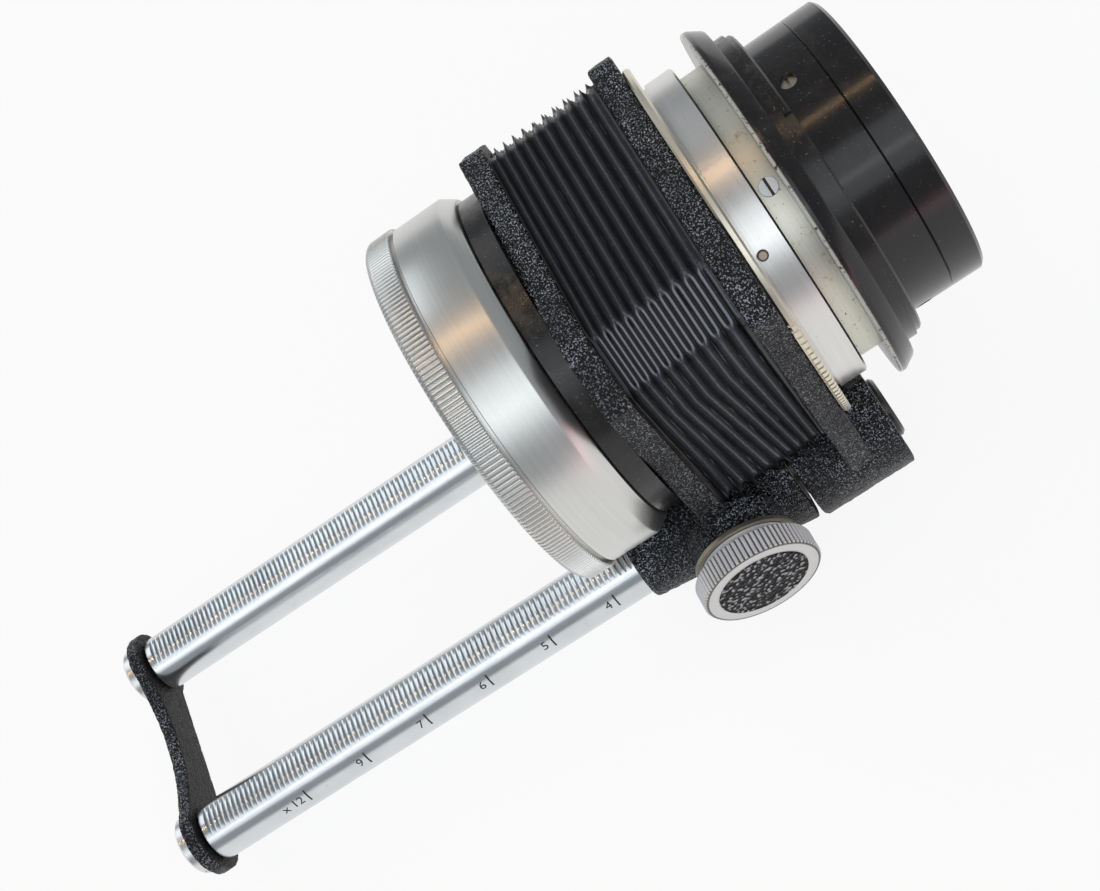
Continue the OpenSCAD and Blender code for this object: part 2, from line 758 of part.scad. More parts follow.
// The mount ring's screws: children have their origin on the sliding plate, +Z into the plate
module mount_screw_places() {
    for (i = [0 : mount_screw_count - 1])
        translate([slide_plate_left, 0, axis_z]) rotate([45 + i * 360 / mount_screw_count, 0, 0])
            translate([0, 0, mount_screw_circle]) rotate([0, 90, 0]) children();
}

module mount_ring() {
    neck_left = mount_ring_left - mount_neck_len;
    color("#202022") difference() {
        turned([
            [light_r, neck_left], [mount_neck_r, neck_left], [mount_neck_r, mount_ring_left],
            [mount_ring_r - edge, mount_ring_left], [mount_ring_r, mount_ring_left + edge],
            [mount_ring_r, slide_plate_left], [light_r, slide_plate_left]
        ]);
        mount_screw_places() {
            translate([0, 0, -mount_ring_len - over])
                cylinder(h = mount_ring_len + 2 * over, r = mount_screw_r + fit);
            translate([0, 0, -mount_ring_len - over])
                cylinder(h = over + mount_screw_head_h + fit, r = mount_screw_head_r + fit);
        }
    }
}

module mount_ring_screws() {
    slot_w = 0.35;
    slot_depth = 0.5;
    color("gray") mount_screw_places() difference() {
        union() {
            translate([0, 0, -mount_ring_len]) cylinder(h = mount_screw_head_h, r = mount_screw_head_r);
            translate([0, 0, -mount_ring_len])
                cylinder(h = mount_ring_len + mount_screw_bite, r = mount_screw_r);
        }
        translate([-slot_w / 2, -mount_screw_head_r - over, -mount_ring_len - over])
            cube([slot_w, 2 * (mount_screw_head_r + over), over + slot_depth]);
    }
}

module camera_ring() {
    rib_depth = 0.45;
    groove_w = 0.6;
    groove_depth = 0.6;
    bevel_len = 2;
    bevel_depth = 1.4;
    relief = 0.7;
    rim_right = camera_ring_left + knurl_len;
    neck_seat = mount_ring_left - mount_neck_len - fit;
    color("#cfcfcc") union() {
        intersection() {
            turned(tube_profile(camera_ring_left, rim_right, camera_thread_r, knurl_ring_r, edge));
            translate([camera_ring_left, 0, axis_z]) rotate([0, 90, 0])
                linear_extrude(height = knurl_len) polygon(ribbed(knurl_ring_r, rib_depth, knurl_count));
        }
        turned([
            [camera_thread_r, rim_right], [camera_ring_r - groove_depth, rim_right],
            [camera_ring_r - groove_depth, rim_right + groove_w],
            [camera_ring_r, rim_right + groove_w],
            [camera_ring_r, mount_ring_left - bevel_len],
            [camera_ring_r - bevel_depth, mount_ring_left],
            [mount_neck_r + fit, mount_ring_left], [mount_neck_r + fit, neck_seat],
            [camera_thread_r + relief, neck_seat],
            [camera_thread_r + relief, camera_ring_left + camera_thread_len],
            [camera_thread_r, camera_ring_left + camera_thread_len]
        ]);
    }
}

// ---------------------------------------------------------------- focusing drive

shaft_bush_r = shaft_r + 1.3;
shaft_bush_len = 4;
knob_gap = 0.1;
washer_y = boss_reach + knob_gap;
knob_back = washer_y + washer_t + knob_gap;
rim_back = knob_back + knob_neck_len;
knob_face = rim_back + knob_rim_w;
knob_web = 1.6;

module shaft_bushes() {
    color("goldenrod") for (y = [-boss_reach, far_reach - shaft_bush_len]) difference() {
        bar_y(shaft_x, shaft_z, y, y + shaft_bush_len, shaft_bush_r);
        bar_y(shaft_x, shaft_z, y - over, y + shaft_bush_len + over, shaft_r + fit);
    }
}

// The involute of the base circle at radius r, as the angle turned from its start
function involute_angle(r, base) = let (t = sqrt(max(0, pow(r / base, 2) - 1))) t * 180 / PI - atan(t);

// One pinion outline, a tooth pointing along +X
function pinion_outline() =
    let (base = pinion_r * cos(flank_angle),
         half_tooth = 90 / pinion_teeth - gear_play / 2 / pinion_r * 180 / PI,
         at_pitch = involute_angle(pinion_r, base),
         radii = [pinion_root_r, base, (base + pinion_r) / 2, pinion_r,
                  pinion_r + gear_module / 2, pinion_tip_r],
         half = [for (r = radii) half_tooth + at_pitch - involute_angle(max(r, base), base)],
         n = len(radii))
    [for (k = [0 : pinion_teeth - 1]) let (mid = k * 360 / pinion_teeth) each concat(
        [for (i = [0 : n - 1]) radii[i] * [cos(mid - half[i]), sin(mid - half[i])]],
        [for (i = [n - 1 : -1 : 0]) radii[i] * [cos(mid + half[i]), sin(mid + half[i])]]
    )];

module pinion_shaft() {
    clip_groove = 0.35;
    color("lightgray") difference() {
        union() {
            bar_y(shaft_x, shaft_z, -knob_face + knob_web, far_reach + clip_w + 1.2, shaft_r);
            for (side = [-1, 1]) translate([shaft_x, side * rail_y, shaft_z])
                rotate([90, 90, 0]) linear_extrude(height = pinion_w, center = true)
                    polygon(pinion_outline());
        }
        difference() {
            bar_y(shaft_x, shaft_z, far_reach + knob_gap, far_reach + knob_gap + clip_w + fit,
                  shaft_r + over);
            bar_y(shaft_x, shaft_z, far_reach, far_reach + clip_w + over, shaft_r - clip_groove);
        }
        bar_y(shaft_x, shaft_z, -knob_face, -knob_face + knob_web + knob_screw_len, knob_screw_r + fit);
    }
}

clip_w = 0.6;

module shaft_clip() {
    color("dimgray") difference() {
        bar_y(shaft_x, shaft_z, far_reach + knob_gap + fit / 2,
              far_reach + knob_gap + clip_w + fit / 2, shaft_r + 1.1);
        bar_y(shaft_x, shaft_z, far_reach, far_reach + clip_w + over, shaft_r - 0.3);
        translate([shaft_x - 0.8, far_reach, shaft_z - shaft_r - 3])
            cube([1.6, clip_w + over, shaft_r + 3]);
    }
}

module knob_washer() {
    color("#b5a77c") difference() {
        bar_y(shaft_x, shaft_z, -washer_y - washer_t, -washer_y, washer_r);
        bar_y(shaft_x, shaft_z, -washer_y - washer_t - over, -washer_y + over, shaft_r + fit);
    }
}

inlay_t = 0.6;
inlay_recess = 0.45;
knob_screw_r = 0.9;
knob_screw_head_r = 1.8;
knob_screw_head_h = 0.8;
knob_screw_len = 4;

module focus_knob() {
    rib_depth = 0.4;
    face_edge = 0.35;
    back_edge = 0.3;
    color("#d4d4d2") translate([shaft_x, 0, shaft_z]) rotate([90, 0, 0]) difference() {
        union() {
            translate([0, 0, knob_back]) cylinder(h = knob_neck_len, r = knob_neck_r);
            intersection() {
                rotate_extrude() polygon([
                    [0, rim_back], [knob_r - back_edge, rim_back], [knob_r, rim_back + back_edge],
                    [knob_r, knob_face - face_edge], [knob_r - face_edge, knob_face], [0, knob_face]
                ]);
                translate([0, 0, rim_back]) linear_extrude(height = knob_rim_w)
                    polygon(ribbed(knob_r, rib_depth, knob_ribs));
            }
        }
        translate([0, 0, knob_face - inlay_recess]) cylinder(h = over + inlay_recess, r = inlay_r + fit);
        translate([0, 0, knob_face - inlay_recess - knob_screw_head_h - fit])
            cylinder(h = over + 1, r = knob_screw_head_r + fit);
        translate([0, 0, knob_back - over]) cylinder(h = knob_face - knob_back, r = knob_screw_r + fit);
        translate([0, 0, knob_back - over])
            cylinder(h = knob_face - knob_web + fit - knob_back + over, r = shaft_r + fit);
    }
}

module knob_inlay() {
    color("#141414") translate([shaft_x, 0, shaft_z]) rotate([90, 0, 0])
        translate([0, 0, knob_face - inlay_recess]) cylinder(h = inlay_t, r = inlay_r);
}

module knob_screw() {
    top = knob_face - inlay_recess;
    slot_w = 0.5;
    color("gray") translate([shaft_x, 0, shaft_z]) rotate([90, 0, 0]) difference() {
        union() {
            translate([0, 0, top - knob_screw_head_h]) cylinder(h = knob_screw_head_h, r = knob_screw_head_r);
            translate([0, 0, knob_face - knob_web - knob_screw_len + fit])
                cylinder(h = knob_screw_len + knob_web - inlay_recess - fit, r = knob_screw_r);
        }
        translate([0, 0, top]) slot(slot_w, knob_screw_head_r, 0.4);
    }
}

// ---------------------------------------------------------------- clamping screw

clamp_tip = rail_y + rail_r + pad_gap + pad_len;
clamp_knob_gap = 0.4;
clamp_knob_y = clamp_boss_end + clamp_knob_gap;
clamp_knob_floor = 1;

module clamp_pad() {
    color("goldenrod") bar_y(clamp_x, rail_height, rail_y + rail_r + pad_gap, clamp_tip, clamp_r);
}

module clamp_spindle() {
    color("darkgray") bar_y(clamp_x, rail_height, clamp_tip + fit,
                            clamp_knob_y + clamp_knob_len - clamp_knob_floor, clamp_r);
}

module clamp_knob() {
    rib_depth = 0.4;
    rib_count = 40;
    rim = 0.5;
    color("#d4d4d2") translate([clamp_x, clamp_knob_y, rail_height]) rotate([-90, 0, 0]) difference() {
        intersection() {
            rotate_extrude() polygon([
                [0, 0], [clamp_knob_r - rim, 0], [clamp_knob_r, rim],
                [clamp_knob_r, clamp_knob_len - rim], [clamp_knob_r - rim, clamp_knob_len],
                [0, clamp_knob_len]
            ]);
            linear_extrude(height = clamp_knob_len) polygon(ribbed(clamp_knob_r, rib_depth, rib_count));
        }
        translate([0, 0, -over])
            cylinder(h = clamp_knob_len - clamp_knob_floor + over + fit, r = clamp_r + fit);
    }
}

fixed_standard();
near_rail();
far_rail();
end_yoke();
yoke_screws();
rail_set_screws();
tripod_bush();
bellows();
front_bellows_frame();
adapter_disc();
adapter_tube();
index_pin();
spacer_tube();
spacer_screws();
lens_flange();
slotted_collar();
lens_barrel();
barrel_screws();
barrel_end_ring();
moving_standard();
rail_bushes();
rear_bellows_frame();
mount_ring();
mount_ring_screws();
camera_ring();
shaft_bushes();
clamp_pad();
pinion_shaft();
shaft_clip();
knob_washer();
focus_knob();
knob_inlay();
knob_screw();
clamp_spindle();
clamp_knob();
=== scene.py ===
"""Macro bellows unit: finishes, pleats, scale marks and light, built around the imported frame.

Everything is in metres in the part's own frame: +X runs along the rails towards the lens
barrel, +Z is up, and the focusing knob is on the -Y side.
"""

import json
import math

import bmesh
import bpy
from mathutils import Matrix, Vector, noise


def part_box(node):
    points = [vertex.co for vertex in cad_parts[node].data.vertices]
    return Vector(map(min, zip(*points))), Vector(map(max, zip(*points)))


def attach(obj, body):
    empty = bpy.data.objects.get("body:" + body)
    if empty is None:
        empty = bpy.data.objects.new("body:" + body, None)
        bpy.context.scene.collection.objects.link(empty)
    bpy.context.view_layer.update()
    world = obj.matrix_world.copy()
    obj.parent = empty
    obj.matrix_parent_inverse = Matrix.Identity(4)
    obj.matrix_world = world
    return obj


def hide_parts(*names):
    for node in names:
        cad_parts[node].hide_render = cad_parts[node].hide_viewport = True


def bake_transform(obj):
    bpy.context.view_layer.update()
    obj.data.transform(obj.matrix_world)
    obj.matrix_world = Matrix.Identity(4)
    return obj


MM = 0.001

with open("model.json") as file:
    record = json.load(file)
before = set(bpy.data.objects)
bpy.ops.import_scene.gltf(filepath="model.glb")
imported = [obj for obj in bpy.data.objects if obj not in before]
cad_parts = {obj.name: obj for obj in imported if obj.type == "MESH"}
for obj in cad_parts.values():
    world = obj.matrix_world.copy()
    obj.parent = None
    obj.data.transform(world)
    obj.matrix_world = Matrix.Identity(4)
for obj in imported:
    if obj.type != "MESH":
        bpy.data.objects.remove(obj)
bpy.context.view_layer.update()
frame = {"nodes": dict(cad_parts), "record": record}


# ---------------------------------------------------------------- shader helpers


class Signal:
    """A socket's value. + - and * on it add the Math nodes that work the expression out."""

    def __init__(self, finish, socket):
        self.finish = finish
        self.socket = socket

    def maths(self, operation, *values):
        return self.finish.node("Math", {"operation": operation}, dict(enumerate(values)))

    def __add__(self, other):
        return self.maths("ADD", self, other)

    def __sub__(self, other):
        return self.maths("SUBTRACT", self, other)

    def __rsub__(self, other):
        return self.maths("SUBTRACT", other, self)

    def __mul__(self, other):
        return self.maths("MULTIPLY", self, other)

    __radd__ = __add__
    __rmul__ = __mul__

    def window(self, low, high):
        """0 below low, 1 above high, and a smooth step between them."""
        settings = {"interpolation_type": "SMOOTHSTEP"}
        values = {"Value": self, "From Min": low, "From Max": high}
        return self.finish.node("MapRange", settings, values)


class Finish:
    """A material being made. place is the point on the piece, in millimetres."""

    def __init__(self, name):
        self.material = bpy.data.materials.new(name)
        self.material.use_nodes = True
        self.tree = self.material.node_tree
        self.tree.nodes.clear()
        point = self.node("TexCoord", out="Object")
        self.place = self.node("VectorMath", {"operation": "SCALE"}, {0: point, "Scale": 1 / MM})

    def node(self, kind, settings=None, values=None, out=0):
        """One node: its settings first, then the values or links of its sockets."""
        node = self.tree.nodes.new("ShaderNode" + kind)
        for key, value in (settings or {}).items():
            setattr(node, key, value)
        for key, value in (values or {}).items():
            if isinstance(value, Signal):
                self.tree.links.new(value.socket, node.inputs[key])
            else:
                node.inputs[key].default_value = value
        return Signal(self, node.outputs[out]) if len(node.outputs) else None

    def noise(self, scale, detail=2.0, roughness=0.5, at=None):
        """Smooth noise from 0 to 1, with scale waves to the millimetre."""
        values = {
            "Vector": at or self.place,
            "Scale": scale,
            "Detail": detail,
            "Roughness": roughness,
        }
        return self.node("TexNoise", None, values, out="Fac")

    def cells(self, scale, feature="F1", out="Distance"):
        """The distance to the nearest of many scattered points, scale of them to the millimetre."""
        values = {"Vector": self.place, "Scale": scale}
        return self.node("TexVoronoi", {"feature": feature}, values, out=out)

    def lots(self, scale):
        """A number from 0 to 1 that each of the cells draws for itself."""
        colour = self.cells(scale, out="Color")
        return self.node("SeparateColor", None, {"Color": colour}, out="Red")

    def blend(self, factor, first, second):
        """first where factor is 0 and second where it is 1, as colours."""
        settings = {"data_type": "RGBA"}
        node = self.node("Mix", settings, {"Factor": factor}, out=2).socket.node
        for key, value in ((6, first), (7, second)):
            if isinstance(value, Signal):
                self.tree.links.new(value.socket, node.inputs[key])
            else:
                node.inputs[key].default_value = (*value, 1)
        return Signal(self, node.outputs[2])

    def along(self):
        """The place on the piece as three numbers in millimetres."""
        outputs = self.node("SeparateXYZ", None, {0: self.place}).socket.node.outputs
        return [Signal(self, output) for output in outputs]

    def round_axis(self, y=0.0, z=0.0):
        """The place along a line in X through y, z, the angle from the top towards the knob's
        side in radians, and the radius."""
        x, across, up = self.along()
        across, up = y - across, up - z
        radius = across.maths("SQRT", across * across + up * up)
        return x, across.maths("ARCTAN2", across, up), radius

    def vector(self, x, y, z):
        return self.node("CombineXYZ", None, {0: x, 1: y, 2: z})

    def bump(self, height, depth):
        """A Bump node whose height of 1 stands depth millimetres proud."""
        values = {"Height": height, "Strength": 1.0, "Distance": depth * MM}
        return self.node("Bump", None, values)

    def close(self, **sockets):
        """Ends the material in a Principled surface and gives it back."""
        named = {
            key.replace("_", " ").title().replace("Ior", "IOR"): value
            for key, value in sockets.items()
        }
        surface = self.node("BsdfPrincipled", None, named)
        self.node("OutputMaterial", None, {"Surface": surface})
        return self.material


# ---------------------------------------------------------------- places on the frame

# In millimetres: the height of the lens's axis, the near rail's radius and place, and how far
# along X the rails are bright; past that, inside the feet, they are painted black as painted shade.
AXIS_Z = 45.15
RAIL_R = 5.0
RAIL_Y = 17.25
RAIL_Z = 12.0
RAIL_SHADED_FROM_X = -9.2

knob_low, knob_high = (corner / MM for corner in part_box("focus_knob"))
KNOB_X = (knob_low.x + knob_high.x) / 2
KNOB_Z = (knob_low.z + knob_high.z) / 2
KNOB_R = (knob_high.x - knob_low.x) / 2
KNOB_RIM_W = 3.7
KNOB_FACE_Y = knob_low.y
RIM_BACK_Y = KNOB_FACE_Y + KNOB_RIM_W


# ---------------------------------------------------------------- finishes


def crackle_paint(name, smooth_face=False):
    """Black crackle enamel: close raised grains, their crests painted lighter than the hollows as
    painted light and shade, with painted glints and a painted sparkle on many of them, and a
    painted light tint that is bluer on faces looking up.
    """
    f = Finish(name)
    turned = f.node("NewGeometry", out="Normal")
    faces = f.node("SeparateXYZ", None, {0: turned}).socket.node.outputs
    # Faces looking up get a bluer painted light tint and stronger painted glints; side faces get a
    # browner tint.
    upper = Signal(f, faces[2]).window(0.15, 0.75)
    grains = 1 - f.cells(2.4) * 1.8
    fine = f.noise(3.2, 2.0, 0.6)
    crest = grains.window(0.20, 0.70)
    patch = f.noise(0.13, 2.0).window(0.36, 0.62)
    # Painted highlights: a glint on many grain crests and a finer sparkle, both stronger in
    # patches.
    painted_glint = crest * f.lots(2.4).window(0.25, 0.90) * (patch * 0.5 + 0.5)
    painted_sparkle = f.noise(3.6, 2.0, 0.7).window(0.56, 0.64) * (patch * 0.65 + 0.35)
    painted_light_tint = f.blend(upper, (0.33, 0.325, 0.325), (0.38, 0.43, 0.53))
    # Grain crests are painted lighter than the hollows between them: painted light and shade.
    base = f.blend(crest, (0.002, 0.002, 0.0025), (0.034, 0.038, 0.046))
    base = f.blend(painted_glint * (upper * 0.25 + 0.70), base, painted_light_tint)
    base = f.blend(painted_sparkle * (upper * 0.3 + 0.6), base, (0.62, 0.66, 0.72))
    if smooth_face:
        inner = Signal(f, faces[0]).window(0.70, 0.92)
        base = f.blend(inner * 0.93, base, (0.006, 0.005, 0.005))
    return f.close(
        base_color=base,
        roughness=0.36 + fine * 0.2,
        specular_ior_level=0.28,
        normal=f.bump(grains.window(-0.2, 0.9) + fine * 0.6, 0.20),
    )


def turned_metal(name, colour, rough, ridge=0.005, stain=None, share=0.0, pits=0.0, floor=None):
    """Metal turned on a lathe: fine lines round the axis, faintly uneven all over.

    ridge is the depth of the lines, share how much of the surface the stain covers, pits how
    dark its pits are, and floor the radius up to which a screw's slot is painted dark as painted
    shade."""
    f = Finish(name)
    x, angle, radius = f.round_axis(z=AXIS_Z)
    lines = f.noise(1.0, 3.0, 0.65, at=f.vector(x * 2.6, angle * 0.8, radius * 2.6))
    patches = f.noise(0.16, 3.0, 0.6)
    base = f.blend(lines.window(0.30, 0.70), [c * 0.93 for c in colour], colour)
    if stain:
        edge = f.noise(0.45, 4.0, 0.7).window(0.68 - share, 0.86 - share)
        base = f.blend(edge * 0.8, base, stain)
    specks = f.noise(2.0, 2.0, 0.75).window(0.66, 0.74) * pits
    # With floor given, the screw's slot below that radius is painted dark as painted shade, carried
    # in specks with the pits.
    if floor:
        specks = specks.maths("MAXIMUM", specks, radius.window(floor + 0.2, floor))
    base = f.blend(specks, base, (0.05, 0.04, 0.03))
    return f.close(
        base_color=base,
        metallic=1.0 - specks,
        roughness=rough + lines * 0.08 + patches * 0.05,
        normal=f.bump(lines, ridge),
    )


def index_mark():
    """The index pin's dull end, darker round its rim."""
    f = Finish("index_mark")
    x, angle, radius = f.round_axis(z=AXIS_Z)
    pin = frame["nodes"]["index_pin"].data.vertices
    middle = sum((v.co for v in pin), Vector()) / len(pin) / MM
    across = (angle - math.atan2(-middle.y, middle.z - AXIS_Z)) * radius
    along = x - middle.x
    reach = across.maths("SQRT", across * across + along * along)
    base = f.blend(reach.window(0.45, 0.62), (0.40, 0.33, 0.27), (0.05, 0.045, 0.04))
    return f.close(base_color=base, metallic=0.5, roughness=0.35)


def black_turned(name, dust, rough, worn=None):
    """Black lacquered metal: glossy lathe lines, with dust on top where it lies.

    worn is the place along the axis and the radius of an edge that has lost its lacquer."""
    f = Finish(name)
    x, angle, radius = f.round_axis(z=AXIS_Z)
    lines = f.noise(1.0, 3.0, 0.65, at=f.vector(x * 3.0, angle * 0.9, radius * 3.0))
    film = f.noise(0.30, 4.0, 0.7).window(0.42, 0.80)
    upper = angle.maths("ABSOLUTE", angle).window(1.1, 0.2) * 0.8 + 0.2
    specks = f.noise(2.3, 2.0, 0.75).window(0.66, 0.72) * (upper * 0.6 + 0.4)
    base = f.blend(film * upper * dust, (0.006, 0.005, 0.006), (0.085, 0.072, 0.055))
    base = f.blend(specks * (0.25 + dust * 0.6), base, (0.34, 0.31, 0.27))
    if worn:
        edge_x, edge_r = worn
        edge = x.window(edge_x + 0.55, edge_x + 0.25) * radius.window(edge_r - 0.9, edge_r - 0.5)
        edge = edge * f.noise(1.3, 3.0, 0.8).window(0.36, 0.46)
        base = f.blend(edge, base, (0.58, 0.57, 0.52))
    return f.close(
        base_color=base,
        roughness=rough + lines * 0.06 + film * upper * dust * 0.4,
        specular_ior_level=0.5,
        normal=f.bump(lines, 0.006),
    )


def bellows_leather():
    """Black coated cloth of the bellows: a fine grain, a grey-blue tone on the ridges that is part
    wear and part painted sheen, valleys painted black as painted shade, and painted highlight lines
    on the thin ridges of the corners.

    ridge is 0 in a valley, 1 on a ridge, and up to 2 on the thin ridges of the corners."""
    f = Finish("bellows_leathercloth")
    ridge = f.node("Attribute", {"attribute_name": "ridge"}, out="Fac")
    grain = f.cells(3.2, "SMOOTH_F1")
    folds = f.noise(0.5, 3.0, 0.6)
    lint = f.noise(2.8, 2.0, 0.75).window(0.63, 0.70)
    # worn is the ridges' grey-blue tone: part real wear and part painted sheen; the valleys it
    # leaves out are painted black as painted shade.
    worn = (ridge + (folds - 0.5) * 0.25).window(0.50, 0.95)
    # The thin ridges of the corners get painted highlight lines.
    thin = ridge.window(1.20, 1.80)
    base = f.blend(worn, (0.003, 0.003, 0.0035), (0.048, 0.053, 0.065))
    base = f.blend(thin, base, (0.30, 0.315, 0.36))
    base = f.blend(lint * worn * (folds * 0.6 + 0.1), base, (0.34, 0.34, 0.34))
    return f.close(
        base_color=base,
        roughness=0.42 - worn * 0.10,
        specular_ior_level=0.55,
        normal=f.bump(grain * 0.4 + folds, 0.06),
    )


def pebbled_leather():
    """Black leather of the knob's inlay, in rounded pebbles with deep lines between them; the lines
    are painted darker as painted shade, and many pebble tops carry painted white glints.
    """
    f = Finish("pebbled_leather")
    pebbles = 1 - f.cells(1.7, "SMOOTH_F1") * 1.6
    # Pebble tops are painted lighter than the lines between them: painted shade in the lines.
    tops = pebbles.window(0.15, 0.70)
    # Painted highlights: white glints on the tops of many pebbles.
    painted_shine = pebbles.window(0.32, 0.66) * f.lots(1.7).window(-0.10, 0.35)
    base = f.blend(tops, (0.001, 0.001, 0.001), (0.012, 0.012, 0.014))
    base = f.blend(painted_shine * 0.85, base, (0.66, 0.66, 0.69))
    return f.close(
        base_color=base,
        roughness=0.50,
        specular_ior_level=0.15,
        normal=f.bump(pebbles, 0.30),
    )


def knob_metal():
    """The focusing knob's nickel: bright rib tops, grooves painted dark as painted shade, a fine
    turned face.
    """
    f = Finish("knob_nickel")
    x, y, z = f.along()
    across, up = x - KNOB_X, z - KNOB_Z
    radius = across.maths("SQRT", across * across + up * up)
    rim = y.window(RIM_BACK_Y + 0.1, RIM_BACK_Y - 0.1)
    # The grooves between the ribs are painted dark: painted shade.
    painted_groove_shade = radius.window(KNOB_R - 0.18, KNOB_R - 0.36) * radius.window(KNOB_R - 0.7, KNOB_R - 0.5)
    lines = f.noise(1.0, 3.0, 0.6, at=f.vector(radius * 3, y * 3, 0.0))
    base = f.blend(lines.window(0.3, 0.7), (0.76, 0.75, 0.72), (0.84, 0.835, 0.81))
    side = y.window(KNOB_FACE_Y + 0.35, KNOB_FACE_Y + 0.55)
    base = f.blend(side, base, (0.92, 0.95, 1.0))
    base = f.blend(painted_groove_shade * rim * 0.90, base, (0.04, 0.048, 0.06))
    return f.close(
        base_color=base, metallic=0.20, roughness=0.32 + lines * 0.1, normal=f.bump(lines, 0.004)
    )


def rail_steel():
    """Bright drawn rail: hairlines along it, small dark specks, and painted shade inside the feet,
    where it is black and not metallic.
    """
    f = Finish("bright_rail")
    x, y, z = f.along()
    hairs = f.noise(1.0, 3.0, 0.6, at=f.vector(x * 0.25, y * 6, z * 6))
    specks = f.noise(1.7, 2.0, 0.75).window(0.69, 0.76)
    patches = f.noise(0.12, 3.0)
    # Inside the feet the rail is painted black and not metallic: painted shade.
    painted_shade_in_feet = x.window(RAIL_SHADED_FROM_X - 0.3, RAIL_SHADED_FROM_X)
    base = f.blend(patches.window(0.3, 0.8), (0.70, 0.725, 0.74), (0.62, 0.645, 0.66))
    base = f.blend(specks * 0.6, base, (0.16, 0.14, 0.12))
    base = f.blend(painted_shade_in_feet, base, (0.02, 0.018, 0.016))
    return f.close(
        base_color=base,
        metallic=1.0 - painted_shade_in_feet,
        roughness=0.17 + hairs * 0.10,
        normal=f.bump(hairs, 0.006),
    )


def scale_ink():
    """Black filling of the engraved scale."""
    f = Finish("scale_filling")
    wear = f.noise(1.2, 3.0)
    base = f.blend(wear.window(0.4, 0.9), (0.015, 0.015, 0.016), (0.10, 0.10, 0.10))
    return f.close(base_color=base, roughness=0.6)


FLOOR_WHITENING = 0.9


def pale_floor():
    """The studio's floor: nearly white to the camera, and it keeps the object's shadow."""
    f = Finish("pale_floor")
    clouds = f.noise(0.004, 2.0)
    colour = f.blend(clouds, (0.90, 0.90, 0.90), (0.93, 0.93, 0.93))
    matt = f.node("BsdfDiffuse", None, {"Color": colour})
    white = f.node("Emission", None, {"Color": (1, 1, 1, 1), "Strength": 1.0})
    rays = f.node("LightPath").socket.node.outputs
    seen = Signal(f, rays["Is Camera Ray"]) + Signal(f, rays["Is Glossy Ray"])
    seen = (seen + Signal(f, rays["Is Transmission Ray"])) * FLOOR_WHITENING
    seen = seen.maths("MINIMUM", seen, 1.0)
    surface = f.node("MixShader", None, {0: seen, 1: matt, 2: white})
    f.node("OutputMaterial", None, {"Surface": surface})
    return f.material


# ---------------------------------------------------------------- finish of each piece

CRACKLE = crackle_paint("crackle_enamel")
YOKE_CRACKLE = crackle_paint("yoke_enamel", smooth_face=True)
SATIN = turned_metal("satin_ring", (0.68, 0.68, 0.66), 0.25, pits=0.15)
TUBE = turned_metal(
    "satin_tube", (0.74, 0.73, 0.71), 0.24, 0.003, stain=(0.66, 0.50, 0.30), pits=0.3
)
CREAM = turned_metal("cream_disc", (0.76, 0.71, 0.60), 0.28, stain=(0.55, 0.42, 0.22), share=0.08)
AGED = turned_metal(
    "aged_tube", (0.70, 0.69, 0.60), 0.36, 0.01, stain=(0.46, 0.30, 0.13), share=0.09, pits=1.0
)
RAIL = rail_steel()
SCREW = turned_metal("screw_steel", (0.74, 0.74, 0.73), 0.22, pits=0.4)
# The spacer screws' slots are painted dark as painted shade.
SPACER_SCREW = turned_metal("spacer_screw_steel", (0.80, 0.80, 0.78), 0.18, pits=0.5, floor=22.95)
BRASS = turned_metal("brass", (0.52, 0.48, 0.38), 0.34, pits=0.5)
GLOSS_BLACK = black_turned("barrel_black", 0.20, 0.14)
WORN_BLACK = black_turned("flange_black", 0.30, 0.16, worn=(12.4, 28.3))
DUSTY_BLACK = black_turned("dusty_black", 0.85, 0.20)
LEATHER = bellows_leather()
PEBBLES = pebbled_leather()
INK = scale_ink()

FINISH_OF_SLOT = {
    "crackle_paint": CRACKLE,
    "rail_metal": RAIL,
    "satin_silver": SATIN,
    "aged_silver": AGED,
    "black_metal": GLOSS_BLACK,
    "dusty_black": DUSTY_BLACK,
    "bellows_cloth": LEATHER,
    "leather_inlay": PEBBLES,
    "brass": BRASS,
    "screw_steel": SCREW,
}

FINISH_OF_NODE = {
    "adapter_tube": TUBE,
    "adapter_disc": CREAM,
    "spacer_screws": SPACER_SCREW,
    "index_pin": index_mark(),
    "slotted_collar": DUSTY_BLACK,
    "focus_knob": knob_metal(),
    "barrel_screws": turned_metal("barrel_screw", (0.42, 0.38, 0.31), 0.30, pits=0.6),
}


def dress_nodes():
    """Gives each node of the frame its finish, with soft shading across shallow edges."""
    for part in frame["record"]["subparts"]:
        name = part["node"]
        node = frame["nodes"][name]
        finish = FINISH_OF_NODE.get(name, FINISH_OF_SLOT[part["material_slot"]])
        node.data.materials.clear()
        node.data.materials.append(finish)
        node.data.shade_smooth()
        node.data.set_sharp_from_angle(angle=math.radians(28))


# ---------------------------------------------------------------- making meshes


def new_piece(name, points, faces, finish, smooth_angle=30.0):
    """A mesh piece with its points in millimetres."""
    mesh = bpy.data.meshes.new(name)
    mesh.from_pydata([Vector(p) * MM for p in points], [], faces)
    mesh.materials.append(finish)
    mesh.shade_smooth()
    mesh.set_sharp_from_angle(angle=math.radians(smooth_angle))
    piece = bpy.data.objects.new(name, mesh)
    bpy.context.scene.collection.objects.link(piece)
    return piece


# ---------------------------------------------------------------- castings

# The size of the casting's facets before they are eased, in millimetres.
VOXEL = 0.34
# The enamel's lumps and its finer grain: their height, and how many go to the millimetre.
LUMP, LUMP_WAVES = 0.11, 0.75
GRAIN, GRAIN_WAVES = 0.07, 1.7
# Faces that look along X meet at the slide's stop, so nothing on them stands out, and they
# stay this far back.
LOOKS_ALONG_X = 0.6
MEETING_GAP = 0.03


